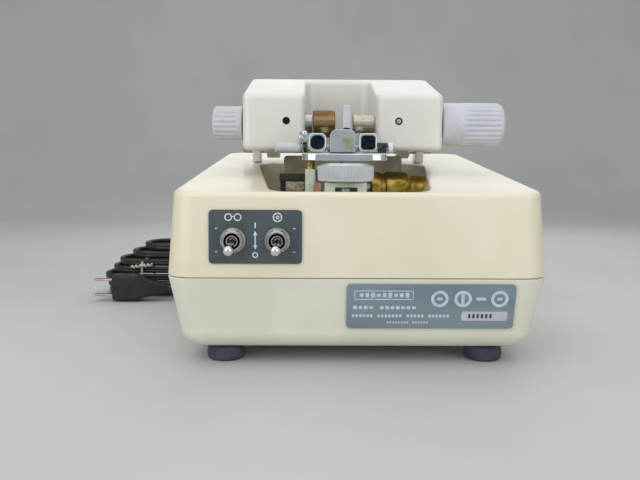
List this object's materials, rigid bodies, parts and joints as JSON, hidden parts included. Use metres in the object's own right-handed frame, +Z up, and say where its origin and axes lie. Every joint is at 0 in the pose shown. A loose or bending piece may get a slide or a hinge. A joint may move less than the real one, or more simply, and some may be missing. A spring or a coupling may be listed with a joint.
{
  "type": "lens edge grooving machine",
  "caption": "Bench-top edge groover for spectacle lenses: tilting clamp head over a thin wheel in a wet well, with depth dial, toggle switches and mains lead.",
  "frame": {"origin": "centre of the footprint without the lead, on the surface that the feet stand on", "axes": "+X to the operator's right, +Y from the front face to the rear, +Z up"},
  "size_m": [0.3146, 0.2969, 0.1748],
  "materials": {
    "cover_paint": "gloss",
    "base_paint": "satin",
    "head_paint": "gloss",
    "bracket_paint": "satin",
    "rubber": "matt",
    "slate_plate": "satin",
    "name_plate": "satin",
    "grey_plastic": "satin",
    "dial_metal": "satin",
    "dial_steel": "brushed",
    "chrome": "polished",
    "steel": "brushed",
    "brass": "worn",
    "nickel": "satin",
    "black_plastic": "matt",
    "spring_steel": "satin",
    "sponge": "porous",
    "grey_tray": "satin",
    "abrasive": "rough",
    "belt_rubber": "matt",
    "cord_rubber": "satin"
  },
  "bodies": {
    "base": {"lower_base": "base_paint", "upper_cover": "cover_paint", "front_left_foot": "rubber", "front_right_foot": "rubber", "rear_left_foot": "rubber", "rear_right_foot": "rubber", "water_tray": "grey_tray", "chassis_plate": "steel", "switch_panel": "slate_plate", "name_plate": "name_plate", "lens_switch": "steel", "lens_switch_nut": "chrome", "wheel_switch": "steel", "wheel_switch_nut": "chrome", "spindle_housing": "brass", "wheel_motor": "black_plastic", "drive_belt": "belt_rubber", "guide_bracket": "bracket_paint", "sponge_holder": "black_plastic", "sponge": "sponge", "splash_baffle": "grey_tray", "left_hinge_bracket": "steel", "right_hinge_bracket": "steel", "strain_relief": "black_plastic", "gland_cord": "cord_rubber", "plug_cord": "cord_rubber", "cord_hank": "cord_rubber", "plug_body": "cord_rubber", "lower_plug_blade": "brass", "upper_plug_blade": "brass"},
    "lens_lever": {"lens_switch_lever": "chrome"},
    "wheel_lever": {"wheel_switch_lever": "chrome"},
    "spindle": {"wheel_spindle": "steel", "grooving_wheel": "abrasive", "wheel_nut": "steel"},
    "motor_rotor": {"motor_pulley": "steel"},
    "dial": {"depth_dial": "dial_steel"},
    "guide_table": {"guide_plate": "chrome", "guide_stand_off": "brass", "edge_rest": "dial_metal", "guide_rod": "steel"},
    "thumb_knob": {"guide_knob": "dial_metal"},
    "left_guide": {"left_guide_arm": "chrome", "left_guide_spring": "spring_steel"},
    "right_guide": {"right_guide_arm": "chrome", "right_guide_spring": "spring_steel"},
    "pivot": {"pivot_shaft": "steel"},
    "head": {"head_casting": "head_paint", "left_grub_screw": "steel", "right_grub_screw": "steel", "gearbox_cover": "head_paint", "lens_motor": "steel"},
    "left_spindle": {"left_lens_shaft": "steel", "left_chuck": "brass", "left_knob": "grey_plastic", "lens_gear": "brass"},
    "pinion": {"lens_pinion": "brass"},
    "clamp_screw": {"clamp_knob": "grey_plastic"},
    "clamp_slider": {"clamp_quill": "steel"},
    "right_spindle": {"right_chuck": "nickel"}
  },
  "joints": [
    {"name": "lens_switch_toggle", "type": "hinge", "parent": "base", "child": "lens_lever", "pos_m": [-0.0693, -0.0955, 0.0734], "axis": [-1, 0, 0], "range_deg": [0, 16]},
    {"name": "wheel_switch_toggle", "type": "hinge", "parent": "base", "child": "wheel_lever", "pos_m": [-0.0448, -0.0955, 0.0734], "axis": [-1, 0, 0], "range_deg": [0, 16]},
    {"name": "wheel_spin", "type": "hinge", "parent": "base", "child": "spindle", "pos_m": [-0.0062, -0.0155, 0.098], "axis": [1, 0, 0], "continuous": true},
    {"name": "motor_spin", "type": "hinge", "parent": "base", "child": "motor_rotor", "pos_m": [0.07, -0.0155, 0.037], "axis": [1, 0, 0], "continuous": true},
    {"name": "depth_dial_turn", "type": "hinge", "parent": "base", "child": "dial", "pos_m": [-0.0062, -0.0575, 0.104], "axis": [0, 0, 1], "range_deg": [-240, 1080]},
    {"name": "guide_lift", "type": "slide", "parent": "base", "child": "guide_table", "axis": [0, 0, 1], "range_m": [-0.0007, 0.0031]},
    {"name": "guide_knob_turn", "type": "hinge", "parent": "guide_table", "child": "thumb_knob", "pos_m": [-0.042, -0.0575, 0.1249], "axis": [1, 0, 0], "range_deg": [-180, 180]},
    {"name": "left_guide_slide", "type": "slide", "parent": "guide_table", "child": "left_guide", "axis": [-1, 0, 0], "range_m": [0, 0.003], "stiffness_N_per_m": 400, "springref_m": -0.002, "deforming": ["left_guide_spring"]},
    {"name": "right_guide_slide", "type": "slide", "parent": "guide_table", "child": "right_guide", "axis": [1, 0, 0], "range_m": [0, 0.003], "stiffness_N_per_m": 400, "springref_m": -0.002, "deforming": ["right_guide_spring"]},
    {"name": "head_float", "type": "slide", "parent": "base", "child": "pivot", "axis": [1, 0, 0], "range_m": [-0.0035, 0.0035]},
    {"name": "head_tilt", "type": "hinge", "parent": "pivot", "child": "head", "pos_m": [-0.0062, 0.0515, 0.127], "axis": [-1, 0, 0], "range_deg": [0, 60]},
    {"name": "lens_spin", "type": "hinge", "parent": "head", "child": "left_spindle", "pos_m": [-0.05, -0.0165, 0.141], "axis": [1, 0, 0], "continuous": true},
    {"name": "pinion_spin", "type": "hinge", "parent": "head", "child": "pinion", "pos_m": [-0.058, 0.0035, 0.141], "axis": [1, 0, 0], "continuous": true},
    {"name": "clamp_knob_turn", "type": "hinge", "parent": "head", "child": "clamp_screw", "pos_m": [0.08, -0.0165, 0.141], "axis": [1, 0, 0], "range_deg": [0, 270]},
    {"name": "clamp_travel", "type": "slide", "parent": "head", "child": "clamp_slider", "axis": [-1, 0, 0], "range_m": [0, 0.0091]},
    {"name": "right_chuck_spin", "type": "hinge", "parent": "clamp_slider", "child": "right_spindle", "pos_m": [0.008, -0.0165, 0.141], "axis": [1, 0, 0], "continuous": true}
  ],
  "couplings": [
    {"joint": "motor_spin", "follows": "wheel_spin", "ratio": 0.66667},
    {"joint": "guide_lift", "follows": "depth_dial_turn", "m_per_rad": 0.00015915},
    {"joint": "pinion_spin", "follows": "lens_spin", "ratio": -1.5},
    {"joint": "clamp_travel", "follows": "clamp_knob_turn", "m_per_rad": 0.0019099}
  ]
}
